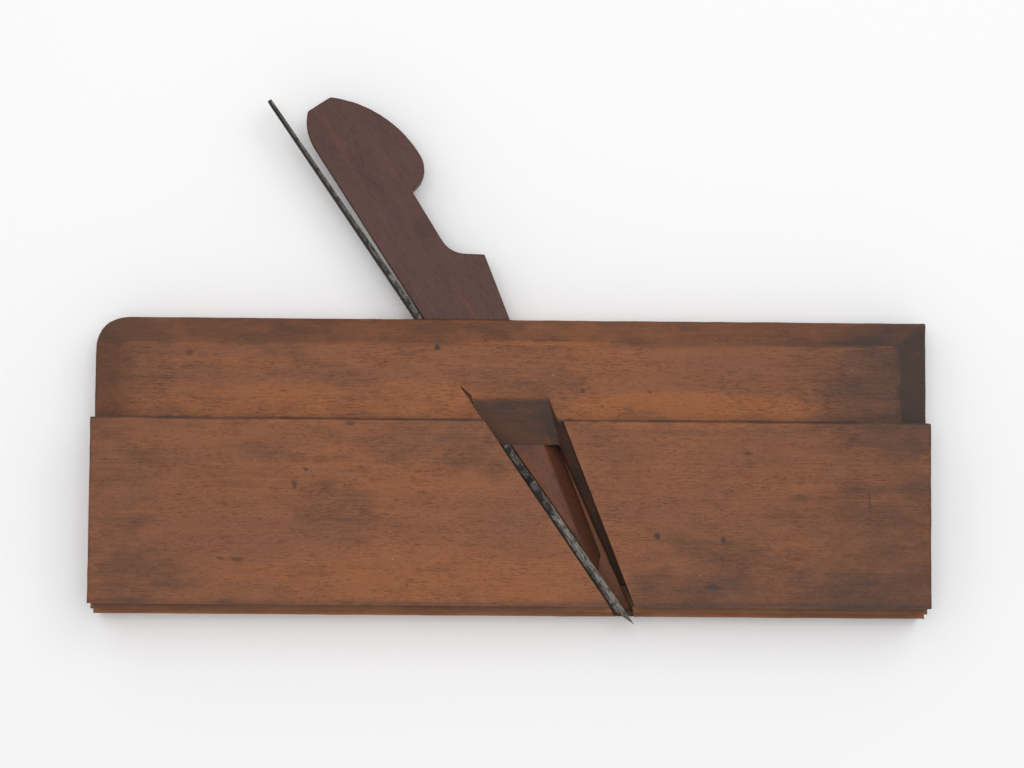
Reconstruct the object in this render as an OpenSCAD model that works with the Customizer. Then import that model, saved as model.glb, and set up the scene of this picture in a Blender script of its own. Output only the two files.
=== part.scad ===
// Wooden side bead moulding plane, lying on its blind side as planes are laid down to
// spare the cutting edge. +X runs to the toe, +Y from the sole to the top, and +Z out of
// the side where the shavings leave. The origin is the middle of the blind side.
// Heights are measured up from the foot of the fence, and widths out from the blind side.

/* [Stock] */
// Length of the stock, heel to toe
stock_l = 241.3; // [200:0.1:300]
// Height of the stock from the foot of the fence to its top
stock_h = 86; // [72:0.5:104]
// Width of the stock across the sole
stock_w = 22.2; // [18.5:0.1:30]
// Radius of the rounded top corner at the heel
heel_r = 9.5; // [3:0.5:14]

/* [Grip] */
// Height of the narrower grip above its shoulder
grip_h = 29.5; // [24:0.5:36]
// Depth of the step from the lower side in to the grip
rebate_d = 3.8; // [2:0.1:4.6]
// Depth to which the three wide chamfers are cut into the grip's open side
chamfer_d = 4.6; // [2:0.1:5]
// Height of the chamfer along the top
top_chamfer = 7.8; // [4:0.1:11]
// Length of the chamfer at the heel
heel_chamfer = 9.4; // [4:0.1:14]
// Length of the chamfer at the toe
toe_chamfer = 8.5; // [4:0.1:14]
// Size of the chamfers round the grip's blind side
blind_chamfer = 3.5; // [1:0.1:5]

/* [Sole] */
// Width of the flat that stops the cut at full depth
stop_w = 7; // [5:0.1:9]
// Thickness of the fin that cuts the quirk
fin_w = 1.2; // [0.9:0.1:2]
// Diameter of the bead that the plane cuts
bead_d = 3.8; // [2.4:0.1:5]
// Drop from the stop flat to the foot of the fin
fin_drop = 1.7; // [1:0.1:2.6]
// Drop from the stop flat to the foot of the fence
fence_drop = 3.2; // [2.6:0.1:5]
// Wood that the boxing slip has on each side of the fin
boxing_side = 1; // [0.5:0.1:1.6]
// Height of the groove for the boxing slip above the stop flat
boxing_h = 6; // [4:0.5:9]

/* [Escapement] */
// Pitch of the bed, in degrees from the sole
bed_pitch = 55.5; // [50:0.1:60]
// Distance of the foot of the bed ahead of the stock's middle
mouth_x = 30.8; // [20:0.1:45]
// Length of the mouth at the foot of the fence
mouth_l = 5.4; // [4.8:0.1:8]
// Extra length of the mouth at the open side
mouth_splay = 0.7; // [0:0.1:3]
// Pitch of the breast at the open side, in degrees
breast_pitch = 68.3; // [66:0.1:72]
// Pitch of the mortise front that the wedge bears on, in degrees
front_pitch = 68.4; // [66:0.1:72]
// Length of the mortise where the escapement's roof meets it
throat_l = 17.2; // [16.5:0.1:19]
// Width of the mortise
mortise_w = 6.4; // [5:0.1:8]
// Wood left between the mortise and the blind side
blind_wall = 7; // [5:0.1:9]
// Height of the lower edge of the escapement's sloping roof
roof_h = 49.4; // [44:0.1:54]
// Rise of that roof from the mortise out to the grip's open side
roof_rise = 14.1; // [10:0.1:18]
// Length of the saw cut that runs past the roof
overcut_l = 2.6; // [0.5:0.1:4]

/* [Iron] */
// Length of the iron from its top to its edge
iron_l = 186.5; // [160:0.5:200]
// Thickness of the iron at the cutting end
iron_t = 3.1; // [2.4:0.1:3.4]
// Thickness of the iron at its top
iron_top_t = 1.3; // [1:0.1:2]
// Distance of the cutting edge below the foot of the fence
iron_out = 2.1; // [0:0.1:2.4]
// Width of the blade
blade_w = 9.5; // [8.6:0.1:10.5]
// Length of the blade below its shoulder
blade_l = 50.4; // [40:0.1:52]
// Length of the sloping shoulder between blade and tang
shoulder_l = 4.1; // [1:0.1:5]
// Width of the tang
tang_w = 5.9; // [4:0.1:6.1]
// Angle of the ground bevel
bevel_angle = 20.4; // [18:0.1:30]
// Length of the steel laid on the iron's front
steel_l = 46; // [20:1:60]
// Thickness of the laid steel
steel_t = 1.5; // [1:0.1:1.8]
// Length of the taper where the steel's upper end is scarfed in
scarf_l = 9; // [4:1:14]

/* [Wedge] */
// Length of the wedge that stands above the stock
head_l = 69.8; // [50:0.1:80]
// Extra pitch of the wedge's back above the stock, in degrees
head_lean = 2; // [0:0.1:3]
// Height of the wedge's front corner above the stock
front_rise = 19.2; // [15:0.1:24]
// Width of the wedge's neck
neck_w = 16.9; // [15:0.1:18]
// Width of the wedge across its round head
crest_w = 25; // [22:0.1:27]
// Distance of the head's crest from the stock, along the back
crest_u = 41.8; // [38:0.1:44]
// Radius of the cove below the neck
cove_r = 8.3; // [6:0.1:9]
// Radius of the head's full lower curve
lobe_r = 7.7; // [6:0.1:9]
// Radius of the head's long upper curve
crown_r = 36; // [32:1:44]
// Radius of the rounded back corner of the head
poll_r = 14; // [8:1:18]
// Height of the wedge's tip above the foot of the fence
tip_h = 13; // [8:0.5:20]
// Width of the bevel that turns shavings out at the wedge's front
snout_w = 4; // [2:0.1:4.6]

/* [Fits] */
// Clearance on each side of the wedge and the iron in the mortise
side_gap = 0.1; // [0.05:0.01:0.2]
// Clearance between the wedge and the mortise front
front_gap = 0.05; // [0.02:0.01:0.15]
// Clearance between the wedge's back and the iron
iron_gap = 0.12; // [0.1:0.01:0.2]
// Clearance between the iron and the foot of the bed
bed_gap = 0.05; // [0.02:0.01:0.1]

/* [Hidden] */
$fn = 72;
over = 1;                                   // how far a cutting shape runs past a face
thin = 0.01;                                // thickness of the outlines that hull joins

grip_w = stock_w - rebate_d;                // width from the blind side to the grip's open side
shoulder_h = stock_h - grip_h;              // height of the step below the grip
stop_h = fence_drop;                        // heights of the parts of the sole
fin_h = stop_h - fin_drop;
fin_z1 = stock_w - stop_w;                  // places of the parts of the sole across its width
fin_z0 = fin_z1 - fin_w;
fence_w = fin_z0 - bead_d;
bead_z = fence_w + bead_d / 2;
cheek_z = blind_wall + mortise_w;           // the mortise's side next to the escapement

roof_slope = roof_rise / (grip_w - cheek_z);
roof_top = roof_h + roof_rise;              // where the roof meets the grip's open side

// Places along the stock of the slanting faces, at height h
function bed_x(h) = mouth_x - h / tan(bed_pitch);
function front_x(h) = bed_x(roof_h) + throat_l + (roof_h - h) / tan(front_pitch);
function breast_x(h) = mouth_x + mouth_l - h * (mouth_x + mouth_l - front_x(roof_h)) / roof_h;
function splay_x(h) = mouth_x + mouth_l + mouth_splay - h / tan(breast_pitch);

iron_taper = atan((iron_t - iron_top_t) / iron_l);
face_pitch = bed_pitch - iron_taper;       // pitch of the iron's front face
bevel_l = iron_t / tan(bevel_angle);
iron_foot_x = mouth_x + bed_gap / sin(bed_pitch);  // where the iron's back crosses height 0
// The point square behind the cutting edge on the line of the iron's back
iron_base = [iron_foot_x + (iron_out + iron_t * cos(bed_pitch)) / tan(bed_pitch),
             -iron_out - iron_t * cos(bed_pitch)];
edge_pt = iron_base + iron_t * [sin(bed_pitch), cos(bed_pitch)];
tang_z1 = blind_wall + side_gap + tang_w;
blade_z1 = blind_wall + side_gap + blade_w;
edge_relief = 1;                            // how far the blade is ground back beside the fin
corner_cut = 1.4;                           // clipped corners at the iron's top

wedge_z0 = blind_wall + side_gap;
wedge_z1 = cheek_z - side_gap;
// Place of the wedge's back at height h: the iron's front face moved out by its clearance
function back_x(h) = edge_pt[0] - (h - edge_pt[1]) / tan(face_pitch) + iron_gap / sin(face_pitch);
function wedge_front_x(h) = front_x(h) - front_gap / sin(front_pitch);
tip_slope = 5;                              // how much higher the wedge's tip is at its front
snout_run = 6;                              // how far the bevel runs on under the roof
snout_land = 0.4;                           // width of front left square beside the bevel
head_pitch = face_pitch + head_lean;
crown_u0 = crest_u + 0.3;
lobe_u0 = crest_u - 0.4;
cove_u0 = 16.6;                             // where the cove leaves the neck, along the back
poll_run = 10;                              // distance of the back corner's centre from the end

// Points on an arc about c from angle a0 to a1
function arc(c, r, a0, a1, steps = 24) =
    [for (i = [0:steps]) let (a = a0 + (a1 - a0) * i / steps) c + r * [cos(a), sin(a)]];
// A point of the head from its distance along the wedge's back and out from it
function head_pt(p) = [back_x(stock_h), stock_h]
    + p[0] * [-cos(head_pitch), sin(head_pitch)] + p[1] * [sin(head_pitch), cos(head_pitch)];

// Outline of the wedge's head, from its front corner round to its back
function head_outline() = let (
        poll_a = acos(poll_run / poll_r),
        crown_a = acos((head_l - crown_u0) / crown_r),
        crown_c = [crown_u0, crest_w - crown_r])
    [for (p = concat(
        arc([cove_u0, neck_w + cove_r], cove_r, 270 - head_pitch, 270),
        arc([lobe_u0, crest_w - lobe_r], lobe_r, 180, 90),
        arc(crown_c, crown_r, 90, crown_a),
        arc([head_l - poll_run, poll_r], poll_r, -poll_a, -90)))
     head_pt(p)];

// Sets a piece drawn by heights above the sole into the plane's own frame
module placed() translate([0, -stock_h / 2, 0]) children();

// Extrudes a cross-section drawn as [width, height] along the whole stock
module along_stock() {
    translate([-stock_l / 2, 0, 0]) rotate([0, 90, 0]) linear_extrude(stock_l)
        mirror([1, 0]) children();
}

// The stock's whole cross-section, with the bead, fin and grip
module cross_section() {
    difference() {
        polygon([[0, 0], [fence_w, 0], [fence_w, fin_h], [fin_z1, fin_h], [fin_z1, stop_h],
                 [stock_w, stop_h], [stock_w, shoulder_h], [grip_w, shoulder_h],
                 [grip_w, stock_h], [0, stock_h]]);
        translate([bead_z, fin_h]) rotate(-90) circle(d = bead_d);
    }
}

// The groove that the boxing slip fills, as a cross-section
module boxing_section() {
    translate([fin_z0 - boxing_side, -over])
        square([fin_w + 2 * boxing_side, stop_h + boxing_h + over]);
}

// A straight cut past the line a-b, on the side that a third point is on
module bevel_cut(a, b, outside) {
    polygon([a + (a - b), outside, b + (b - a)]);
}

// The wide chamfers on the grip's open side and the small ones on its blind side
module grip_chamfers() {
    edge = stock_l / 2;
    far = stock_h + stock_w;
    translate([-edge - over, 0, 0]) rotate([0, 90, 0]) linear_extrude(stock_l + 2 * over)
        mirror([1, 0]) {
            bevel_cut([grip_w, stock_h - top_chamfer], [grip_w - chamfer_d, stock_h],
                      [far, far]);
            bevel_cut([0, stock_h - blind_chamfer], [blind_chamfer, stock_h],
                      [-far, far]);
        }
    translate([0, stock_h + over, 0]) rotate([90, 0, 0]) linear_extrude(grip_h + over) {
        bevel_cut([-edge + heel_chamfer, grip_w], [-edge, grip_w - chamfer_d], [-far * 2, far]);
        bevel_cut([edge - toe_chamfer, grip_w], [edge, grip_w - chamfer_d], [far * 2, far]);
        bevel_cut([-edge + blind_chamfer, 0], [-edge, blind_chamfer], [-far * 2, -far]);
        bevel_cut([edge - blind_chamfer, 0], [edge, blind_chamfer], [far * 2, -far]);
    }
}

// What rounding the heel's top corner takes away
module heel_corner() {
    translate([-stock_l / 2, stock_h - heel_r, -over]) linear_extrude(stock_w + 2 * over)
        difference() {
            translate([-over, 0]) square([heel_r + over, heel_r + over]);
            translate([heel_r, 0]) circle(heel_r);
        }
}

// All the space on the toe side of the bed, from the blind wall out past the open side
module ahead_of_bed() {
    ahead = stock_l / 2;
    translate([0, 0, blind_wall]) linear_extrude(stock_w + over - blind_wall)
        polygon([[bed_x(-over), -over], [ahead, -over],
                 [ahead, stock_h + over], [bed_x(stock_h + over), stock_h + over]]);
}

// The mortise, and the throat below it down to the mouth, run on behind the bed
module mortise() {
    translate([0, 0, blind_wall - over]) linear_extrude(mortise_w + over)
        polygon([[bed_x(-over) - over, -over * 2], [breast_x(-over * 2), -over * 2],
                 [front_x(roof_h), roof_h],
                 [front_x(stock_h + over * 2), stock_h + over * 2],
                 [bed_x(stock_h + over) - over, stock_h + over * 2]]);
}

// A slice of the escapement's open side at width z: it widens and rises on its way out
module escapement_slice(z) {
    out = (z - cheek_z) / (stock_w - cheek_z);
    top_h = roof_h + (z - cheek_z) * roof_slope;
    low_h = -over * 2;
    function side_x(h) = breast_x(h) + out * (splay_x(h) - breast_x(h));
    translate([0, 0, z]) linear_extrude(thin)
        polygon([[bed_x(low_h) - over, low_h], [side_x(low_h), low_h],
                 [side_x(top_h), top_h], [bed_x(top_h) - over, top_h]]);
}

// The open side of the escapement, begun a little inside the mortise
module escapement() {
    hull() {
        escapement_slice(cheek_z - over / 2);
        escapement_slice(stock_w + over);
    }
}

// The saw kerf of the bed, where it runs past the roof
module overcut() {
    kerf = 0.6;
    depth = 1.4;
    translate([0, 0, grip_w - depth]) linear_extrude(depth + over)
        polygon([[bed_x(roof_top - overcut_l), roof_top - overcut_l],
                 [bed_x(roof_top + overcut_l), roof_top + overcut_l],
                 [bed_x(roof_top) + kerf * 2, roof_top]]);
}

module throat() {
    intersection() {
        ahead_of_bed();
        union() {
            mortise();
            escapement();
        }
    }
}

module stock() {
    color("#8a4f2c") placed() difference() {
        along_stock() difference() {
            cross_section();
            boxing_section();
        }
        grip_chamfers();
        heel_corner();
        throat();
        overcut();
    }
}

// The boxwood slip, with the fin and its share of the bead and of the stop flat
module boxing(from_x, to_x) {
    color("#b98a4a") placed() intersection() {
        difference() {
            along_stock() intersection() {
                cross_section();
                boxing_section();
            }
            throat();
        }
        translate([from_x, -over, 0]) cube([to_x - from_x, stock_h, stock_w]);
    }
}

module boxing_heel() boxing(-stock_l / 2 - over, mouth_x);

module boxing_toe() boxing(mouth_x, stock_l / 2 + over);

// The wedge's outline seen from the open side
module wedge_outline() {
    corner_h = stock_h + front_rise;
    polygon(concat(
        [[back_x(stock_h), stock_h], [back_x(tip_h), tip_h],
         [wedge_front_x(tip_h + tip_slope), tip_h + tip_slope],
         [wedge_front_x(corner_h), corner_h]],
        head_outline()));
}

// The bevel along the wedge's front that turns the shavings out
module snout_cut() {
    top_h = roof_h + snout_run;
    bevel_run = [-snout_w, wedge_z1 - wedge_z0 - snout_land];
    translate([wedge_front_x(top_h), top_h, 0]) rotate([0, 0, 90 - front_pitch])
        rotate([90, 0, 0]) linear_extrude(roof_h + 2 * snout_run)
            translate([0, wedge_z0 + snout_land])
                polygon([-bevel_run, 2 * bevel_run, [2 * snout_w, stock_w]]);
}

module wedge() {
    color("#6b3a26") placed() difference() {
        translate([0, 0, wedge_z0]) linear_extrude(wedge_z1 - wedge_z0) wedge_outline();
        snout_cut();
    }
}

// Sets what is drawn along the iron's back, with its edge end at x = 0, onto the bed
module on_bed() placed() translate(iron_base) rotate([0, 0, -bed_pitch]) children();

// Thickness of the iron at the place x along its back
function iron_t_at(x) = iron_t + x * tan(iron_taper);

// Iron and steel together: blade, shoulder and tang, with the bevel and the bead's shape
module whole_iron() {
    difference() {
        on_bed() intersection() {
            linear_extrude(stock_w)
                polygon([[-iron_l, 0], [-bevel_l, 0], [0, iron_t], [-iron_l, iron_top_t]]);
            rotate([-90, 0, 0]) linear_extrude(iron_t + over) mirror([0, 1])
                polygon([[0, blind_wall + side_gap], [0, blade_z1], [-blade_l, blade_z1],
                         [-blade_l - shoulder_l, tang_z1], [corner_cut - iron_l, tang_z1],
                         [-iron_l, tang_z1 - corner_cut],
                         [-iron_l, blind_wall + side_gap + corner_cut],
                         [corner_cut - iron_l, blind_wall + side_gap]]);
        }
        placed() translate([edge_pt[0] - stock_w, -iron_out, bead_z]) rotate([0, 90, 0])
            rotate(-90) cylinder(d = bead_d, h = 2 * stock_w);
        placed() translate([edge_pt[0] - stock_w, -iron_out - stock_w, fin_z1])
            cube([2 * stock_w, stock_w + fin_drop + edge_relief, stock_w]);
    }
}

// The space of the steel facing along the front of the iron, run out past the iron's face
module steel_space() {
    on_bed() linear_extrude(stock_w)
        polygon([[-steel_l - scarf_l, iron_t_at(-steel_l) + steel_t],
                 [scarf_l - steel_l, iron_t_at(scarf_l - steel_l) - steel_t],
                 [over, iron_t_at(over) - steel_t], [over, iron_t + steel_t]]);
}

module iron() {
    color("#3d3835") difference() {
        whole_iron();
        steel_space();
    }
}

module edge_steel() {
    color("#a9a7a2") intersection() {
        whole_iron();
        steel_space();
    }
}

stock();
boxing_heel();
boxing_toe();
wedge();
iron();
edge_steel();
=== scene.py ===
"""Looks of a wooden side bead plane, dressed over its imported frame."""

import logging
import math
import operator
from dataclasses import dataclass
from enum import Enum
from functools import reduce
from typing import Iterable

import bmesh
import bpy
import numpy as np
from mathutils import Matrix, Vector


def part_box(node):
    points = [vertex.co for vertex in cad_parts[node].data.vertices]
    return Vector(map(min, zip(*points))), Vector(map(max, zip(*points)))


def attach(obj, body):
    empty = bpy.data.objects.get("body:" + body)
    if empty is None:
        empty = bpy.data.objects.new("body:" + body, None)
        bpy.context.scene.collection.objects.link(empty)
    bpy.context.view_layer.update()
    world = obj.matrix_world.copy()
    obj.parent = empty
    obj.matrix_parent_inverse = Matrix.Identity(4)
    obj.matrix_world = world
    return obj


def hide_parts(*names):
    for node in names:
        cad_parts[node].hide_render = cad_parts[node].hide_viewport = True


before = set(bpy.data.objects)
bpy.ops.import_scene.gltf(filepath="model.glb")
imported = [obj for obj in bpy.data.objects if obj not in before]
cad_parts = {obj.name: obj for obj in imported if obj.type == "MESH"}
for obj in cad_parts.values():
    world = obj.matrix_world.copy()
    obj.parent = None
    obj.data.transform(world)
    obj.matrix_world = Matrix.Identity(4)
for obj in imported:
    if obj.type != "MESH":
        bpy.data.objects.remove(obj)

MM = 0.001
Colour = tuple[float, float, float]
Triple = tuple[float, float, float]
log = logging.getLogger("side_bead_plane")


class Body(Enum):
    """The bodies that the plane's pieces ride on."""

    STOCK = "stock"
    WEDGE = "wedge"
    IRON = "iron"


class Slot(Enum):
    """Names of the material slots, which each piece carries but nothing here uses."""

    BEECH = "beech_stock"
    BOXWOOD = "boxwood"
    WEDGE = "beech_wedge"
    FORGED = "forged_iron"
    STEEL = "laid_steel"


# --------------------------------------------------------------------------- material bench


@dataclass(frozen=True)
class Field:
    """One value that runs through a material, so that sums of values can be written plainly."""

    bench: "Bench"
    socket: bpy.types.NodeSocket

    def _sum(self, operation: str, *others: "Field | float") -> "Field":
        """Adds a Math node that works on this value and the others.

        Args:
            operation: The Math node's operation.
            others: The values that it works with.

        Returns:
            The result.
        """
        node = self.bench.add("ShaderNodeMath", operation=operation)
        for place, value in enumerate((self, *others)):
            self.bench.feed(node.inputs[place], value)
        return Field(self.bench, node.outputs[0])

    def __add__(self, other: "Field | float") -> "Field":
        """This value plus the other."""
        return self._sum("ADD", other)

    def __sub__(self, other: "Field | float") -> "Field":
        """This value less the other."""
        return self._sum("SUBTRACT", other)

    def __mul__(self, other: "Field | float") -> "Field":
        """This value times the other."""
        return self._sum("MULTIPLY", other)

    def size(self) -> "Field":
        """This value without its sign."""
        return self._sum("ABSOLUTE")

    def step(self, low: float, high: float) -> "Field":
        """A soft step from 0 at low to 1 at high; low may be above high.

        Args:
            low: The value at which the step is 0.
            high: The value at which the step is 1.

        Returns:
            The step, never outside 0 to 1.
        """
        node = self.bench.add("ShaderNodeMapRange", interpolation_type="SMOOTHSTEP")
        turned = low > high
        self.bench.feed(node.inputs["Value"], self)
        node.inputs["From Min"].default_value = min(low, high)
        node.inputs["From Max"].default_value = max(low, high)
        node.inputs["To Min"].default_value = 1.0 if turned else 0.0
        node.inputs["To Max"].default_value = 0.0 if turned else 1.0
        return Field(self.bench, node.outputs["Result"])


class Bench:
    """A material being made: its node tree, and short ways to add what wood and iron need."""

    def __init__(self, name: str, grain_turn: float = 0.0) -> None:
        """Starts an empty material.

        Args:
            name: The material's name.
            grain_turn: Degrees that the grain is turned from X, about Z.
        """
        self.material = bpy.data.materials.new(name)
        self.material.use_nodes = True
        self.tree = self.material.node_tree
        self.tree.nodes.clear()
        place = self.add("ShaderNodeTexCoord").outputs["Object"]
        scaled = self.add("ShaderNodeMapping", vector_type="POINT")
        self.tree.links.new(place, scaled.inputs["Vector"])
        scaled.inputs["Scale"].default_value = (1 / MM,) * 3
        self.place = scaled.outputs["Vector"]
        turned = self.add("ShaderNodeMapping", vector_type="POINT")
        self.tree.links.new(self.place, turned.inputs["Vector"])
        turned.inputs["Rotation"].default_value = (0, 0, -math.radians(grain_turn))
        self.grain_place = turned.outputs["Vector"]

    def add(self, kind: str, **settings: object) -> bpy.types.Node:
        """Adds a node of one kind and gives it its settings.

        Args:
            kind: The node's type.
            settings: Its settings by name.

        Returns:
            The new node.
        """
        node = self.tree.nodes.new(kind)
        for name, value in settings.items():
            setattr(node, name, value)
        return node

    def feed(self, socket: bpy.types.NodeSocket, value: object) -> None:
        """Links a field or a socket to an input, or sets the input to a number or a colour.

        Args:
            socket: The input to feed.
            value: A field, a socket, a number or a colour.
        """
        if isinstance(value, Field):
            self.tree.links.new(value.socket, socket)
        elif isinstance(value, bpy.types.NodeSocket):
            self.tree.links.new(value, socket)
        elif isinstance(value, tuple) and socket.type == "RGBA":
            socket.default_value = (*value, 1.0)
        else:
            socket.default_value = value

    def axes(self) -> tuple[Field, Field, Field]:
        """The place on the piece in millimetres, as three fields.

        Returns:
            Millimetres along X, Y and Z.
        """
        split = self.add("ShaderNodeSeparateXYZ")
        self.tree.links.new(self.place, split.inputs[0])
        return tuple(Field(self, split.outputs[i]) for i in range(3))

    def _stretched(self, lengths: Triple, seed: float) -> bpy.types.NodeSocket:
        """The grain's own coordinates, shrunk by a length on each axis and moved by a seed.

        Args:
            lengths: Length in millimetres along the grain, across it and in depth.
            seed: Number that moves the pattern.

        Returns:
            The socket of the coordinates.
        """
        node = self.add("ShaderNodeMapping", vector_type="POINT")
        self.tree.links.new(self.grain_place, node.inputs["Vector"])
        node.inputs["Scale"].default_value = tuple(1 / length for length in lengths)
        node.inputs["Location"].default_value = (seed * 7.31, seed * 3.17, seed * 5.53)
        return node.outputs["Vector"]

    def noise(
        self,
        lengths: Triple,
        seed: float,
        detail: float = 2.0,
        roughness: float = 0.5,
        distortion: float = 0.0,
    ) -> Field:
        """Soft noise with its own size on each axis.

        Args:
            lengths: Size of the noise in millimetres along the grain, across it and in depth.
            seed: Number that moves the noise to another place.
            detail: Octaves of finer noise.
            roughness: Strength of the finer octaves.
            distortion: How far the noise is pulled about.

        Returns:
            The noise, about 0 to 1.
        """
        node = self.add("ShaderNodeTexNoise", noise_dimensions="3D")
        self.tree.links.new(self._stretched(lengths, seed), node.inputs["Vector"])
        node.inputs["Scale"].default_value = 1.0
        node.inputs["Detail"].default_value = detail
        node.inputs["Roughness"].default_value = roughness
        node.inputs["Distortion"].default_value = distortion
        return Field(self, node.outputs[0])

    def cells(self, lengths: Triple, seed: float) -> Field:
        """Distance from the nearest of many scattered points, in shares of their spacing.

        Args:
            lengths: Spacing in millimetres along the grain, across it and in depth.
            seed: Number that moves the points.

        Returns:
            The distance.
        """
        node = self.add("ShaderNodeTexVoronoi", voronoi_dimensions="3D", feature="F1")
        self.tree.links.new(self._stretched(lengths, seed), node.inputs["Vector"])
        node.inputs["Scale"].default_value = 1.0
        return Field(self, node.outputs["Distance"])

    def mix(
        self,
        under: "Colour | bpy.types.NodeSocket",
        over: "Colour | bpy.types.NodeSocket",
        share: "Field | float",
        blend: str = "MIX",
    ) -> bpy.types.NodeSocket:
        """Lays one colour over another.

        Args:
            under: The colour below.
            over: The colour laid over it.
            share: How much of it is laid on, 0 to 1.
            blend: How the two are joined.

        Returns:
            The socket of the mixed colour.
        """
        node = self.add("ShaderNodeMix", data_type="RGBA", blend_type=blend)
        colours = [s for s in node.inputs if s.type == "RGBA"]
        self.feed(node.inputs[0], share)
        self.feed(colours[0], under)
        self.feed(colours[1], over)
        return next(s for s in node.outputs if s.type == "RGBA")

    def attribute(self, name: str) -> Field:
        """A number kept on the piece's own points."""
        node = self.add("ShaderNodeAttribute", attribute_name=name)
        return Field(self, node.outputs["Fac"])

    def finish(
        self,
        colour: "Colour | bpy.types.NodeSocket",
        roughness: "Field | float",
        height: "Field | None" = None,
        relief: float = 0.1,
        metallic: "Field | float" = 0.0,
        sheen_level: float = 0.5,
    ) -> bpy.types.Material:
        """Joins everything to the shader.

        Args:
            colour: The surface colour.
            roughness: The surface roughness.
            height: Height of the fine relief, about 0 to 1.
            relief: Depth of that relief in millimetres.
            metallic: How much the surface is metal.
            sheen_level: Level of the plain gloss.

        Returns:
            The finished material.
        """
        shader = self.add("ShaderNodeBsdfPrincipled")
        out = self.add("ShaderNodeOutputMaterial")
        self.tree.links.new(shader.outputs[0], out.inputs["Surface"])
        self.feed(shader.inputs["Base Color"], colour)
        self.feed(shader.inputs["Roughness"], roughness)
        self.feed(shader.inputs["Metallic"], metallic)
        shader.inputs["Specular IOR Level"].default_value = sheen_level
        if height is not None:
            bump = self.add("ShaderNodeBump")
            bump.inputs["Strength"].default_value = 1.0
            bump.inputs["Distance"].default_value = relief * MM
            self.feed(bump.inputs["Height"], height)
            self.tree.links.new(bump.outputs[0], shader.inputs["Normal"])
        return self.material


# --------------------------------------------------------------------------- finishes


@dataclass(frozen=True)
class Stain:
    """A soft-edged patch on the wood: a place, its half sizes and how strong it is."""

    x: float
    y: float
    half_x: float
    half_y: float
    strength: float

    def on(self, x: Field, y: Field) -> Field:
        """The patch as a field that falls from its strength to 0 at its rim.

        Args:
            x: Millimetres towards the toe.
            y: Millimetres towards the top.

        Returns:
            The patch.
        """
        across = (x - self.x) * (1 / self.half_x)
        up = (y - self.y) * (1 / self.half_y)
        return (across * across + up * up).step(1.0, 0.0) * self.strength


def laid(stains: Iterable[Stain], x: Field, y: Field) -> Field:
    """The sum of several stains as one field."""
    return reduce(operator.add, (stain.on(x, y) for stain in stains))


@dataclass(frozen=True)
class Slant:
    """A slanting wall of the throat, seen along Z: where it meets Y = 0, and how it leans."""

    foot_x: float
    lean: float

    def past(self, x: Field, y: Field) -> Field:
        """How far a place lies towards the toe from the wall, in millimetres along X."""
        return x + y * self.lean - self.foot_x


BED = Slant(1.24, 0.6873)
FRONT = Slant(20.6, 0.396)


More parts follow.
